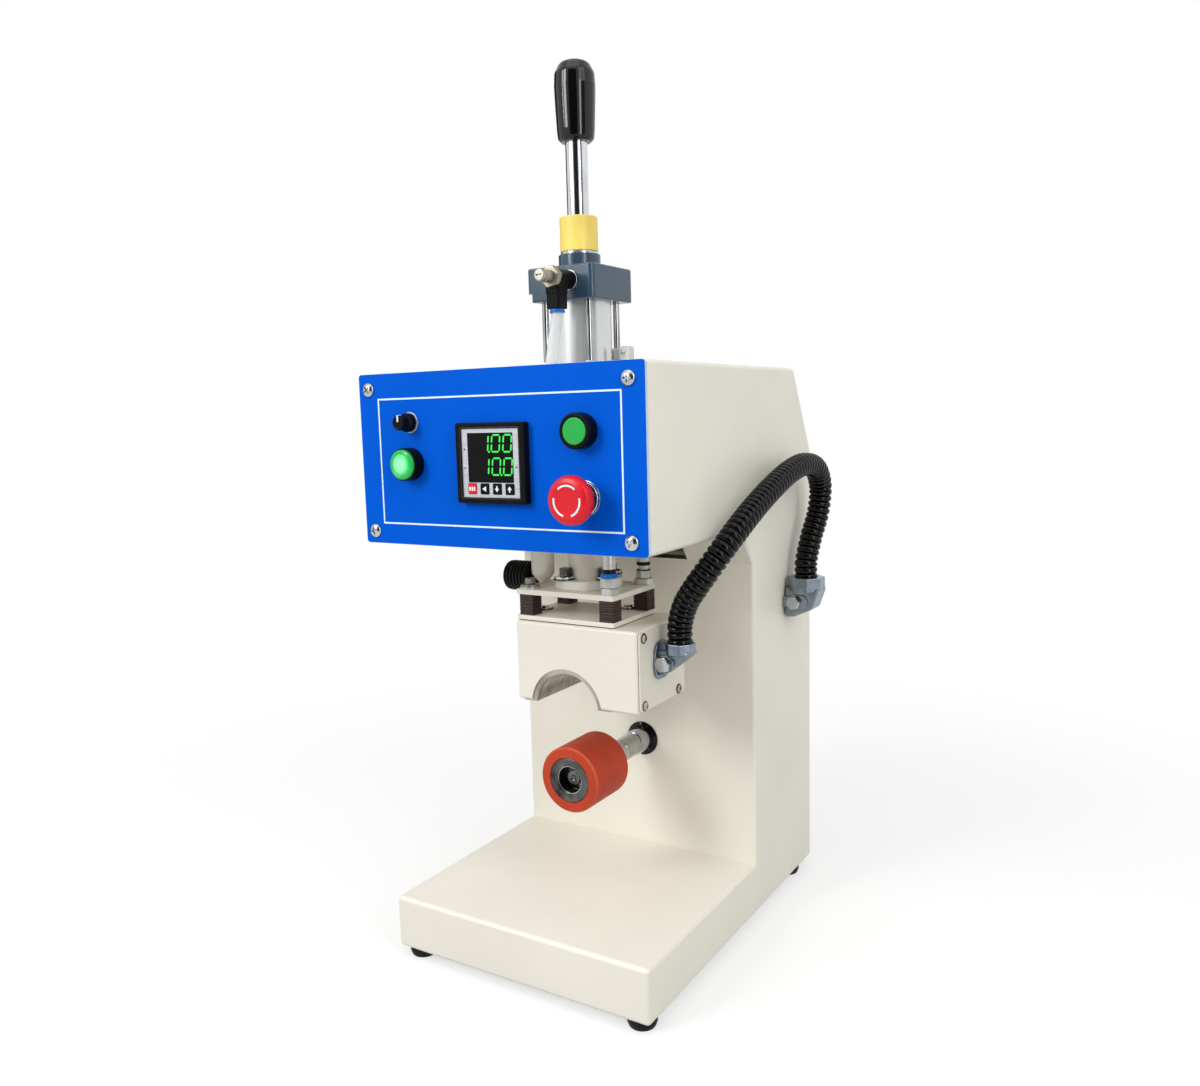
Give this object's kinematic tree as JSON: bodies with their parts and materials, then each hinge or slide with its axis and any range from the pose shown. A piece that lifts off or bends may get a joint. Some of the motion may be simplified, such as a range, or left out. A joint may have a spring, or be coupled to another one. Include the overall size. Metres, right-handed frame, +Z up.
{
  "type": "hem pressing machine",
  "caption": "Bench-top hem press: a painted stand with a control panel and an air cylinder that lowers a heated arched head onto a rubber-faced roller.",
  "frame": {"origin": "under the middle of the whole machine, on the surface that its feet stand on", "axes": "+Z up, -Y towards the operator who faces the control panel, +X to the operator's right"},
  "size_m": [0.3402, 0.404, 0.8164],
  "materials": {
    "cream_paint": "smooth satin paint",
    "blue_paint": "satin paint",
    "black_plastic": "glossy moulded plastic",
    "black_rubber": "dull rubber",
    "bright_steel": "ground and plated",
    "dark_steel": "machined, darkened",
    "zinc": "die cast, dull shine",
    "slate_paint": "cast block, painted",
    "tube_aluminium": "drawn tube, finely brushed",
    "silicone": "ground silicone rubber",
    "yellow_plastic": "turned plastic",
    "brown_laminate": "layered heat-proof laminate",
    "green_plastic": "moulded plastic",
    "lit_green": "lit lens",
    "red_plastic": "moulded plastic",
    "silver": "thin scale disc",
    "clear_tube": "see-through tube"
  },
  "bodies": {
    "frame": {"base_box": "cream_paint", "column": "cream_paint", "head_box": "cream_paint", "rear_cover": "cream_paint", "foot_front_left": "black_rubber", "foot_front_right": "black_rubber", "foot_rear_right": "black_rubber", "foot_rear_left": "black_rubber", "control_panel": "blue_paint", "controller_case": "black_plastic", "dial_mount": "silver", "lamp_switch": "black_plastic", "start_switch": "black_plastic", "stop_switch": "zinc", "cylinder_bottom_cap": "slate_paint", "cylinder_tube": "tube_aluminium", "cylinder_top_cap": "slate_paint", "tie_rod_front_left": "bright_steel", "tie_rod_front_right": "bright_steel", "tie_rod_rear_right": "bright_steel", "tie_rod_rear_left": "bright_steel", "stop_sleeve": "yellow_plastic", "flow_valve": "black_plastic", "air_tube": "clear_tube", "solenoid_valve": "dark_steel", "port_block": "zinc", "column_elbow": "zinc", "conduit_hose": "black_rubber", "roller_shaft": "bright_steel", "shaft_seal": "black_rubber", "regulator_body": "cream_paint"},
    "press_head": {"piston_rod": "bright_steel", "hand_grip": "black_plastic", "rod_flange": "cream_paint", "upper_plate": "cream_paint", "lower_plate": "cream_paint", "spacer_front_left": "brown_laminate", "spacer_front_right": "brown_laminate", "spacer_rear_right": "brown_laminate", "spacer_rear_left": "brown_laminate", "guide_post_front": "bright_steel", "guide_post_rear": "bright_steel", "heat_block": "dark_steel", "heating_element": "bright_steel", "head_cover": "cream_paint", "side_cover": "cream_paint", "head_elbow": "zinc"},
    "roller": {"roller_hub": "dark_steel", "roller_sleeve": "silicone"},
    "dial": {"dial_knob": "black_plastic"},
    "lamp": {"lamp_button": "lit_green"},
    "start": {"start_button": "green_plastic"},
    "stop_stem_slide": {"stop_stem": "dark_steel"},
    "stop_head": {"stop_button": "red_plastic"},
    "set_key": {"key_set": "red_plastic"},
    "left_key": {"key_left": "black_plastic"},
    "down_key": {"key_down": "black_plastic"},
    "up_key": {"key_up": "black_plastic"},
    "speed_screw": {"flow_screw": "bright_steel"},
    "pressure_knob": {"regulator_knob": "black_plastic"}
  },
  "joints": [
    {"name": "press_stroke", "type": "slide", "parent": "frame", "child": "press_head", "axis": [0, 0, -1], "range_m": [0, 0.0646], "deforming": ["conduit_hose"]},
    {"name": "roller_spin", "type": "hinge", "parent": "frame", "child": "roller", "pos_m": [0.0034, -0.0635, 0.1695], "axis": [0, 1, 0], "continuous": true},
    {"name": "dial_turn", "type": "hinge", "parent": "frame", "child": "dial", "pos_m": [-0.1101, -0.1895, 0.5028], "axis": [0, 1, 0], "range_deg": [-150, 150]},
    {"name": "lamp_press", "type": "slide", "parent": "frame", "child": "lamp", "axis": [0, 1, 0], "range_m": [0, 0.003], "stiffness_N_per_m": 600},
    {"name": "start_press", "type": "slide", "parent": "frame", "child": "start", "axis": [0, 1, 0], "range_m": [0, 0.003], "stiffness_N_per_m": 600},
    {"name": "stop_press", "type": "slide", "parent": "frame", "child": "stop_stem_slide", "axis": [0, 1, 0], "range_m": [0, 0.004]},
    {"name": "stop_twist", "type": "hinge", "parent": "stop_stem_slide", "child": "stop_head", "pos_m": [0.0729, -0.1895, 0.439], "axis": [0, 1, 0], "range_deg": [0, 45], "stiffness_Nm_per_rad": 0.05},
    {"name": "set_key_press", "type": "slide", "parent": "frame", "child": "set_key", "axis": [0, 1, 0], "range_m": [0, 0.0008], "stiffness_N_per_m": 300},
    {"name": "left_key_press", "type": "slide", "parent": "frame", "child": "left_key", "axis": [0, 1, 0], "range_m": [0, 0.0008], "stiffness_N_per_m": 300},
    {"name": "down_key_press", "type": "slide", "parent": "frame", "child": "down_key", "axis": [0, 1, 0], "range_m": [0, 0.0008], "stiffness_N_per_m": 300},
    {"name": "up_key_press", "type": "slide", "parent": "frame", "child": "up_key", "axis": [0, 1, 0], "range_m": [0, 0.0008], "stiffness_N_per_m": 300},
    {"name": "speed_screw_turn", "type": "hinge", "parent": "frame", "child": "speed_screw", "pos_m": [0.0149, -0.1495, 0.6225], "axis": [0, 1, 0], "range_deg": [-1440, 1440]},
    {"name": "pressure_knob_turn", "type": "hinge", "parent": "frame", "child": "pressure_knob", "pos_m": [-0.0631, -0.0715, 0.3525], "axis": [1, 0, 0], "range_deg": [-720, 720]}
  ]
}
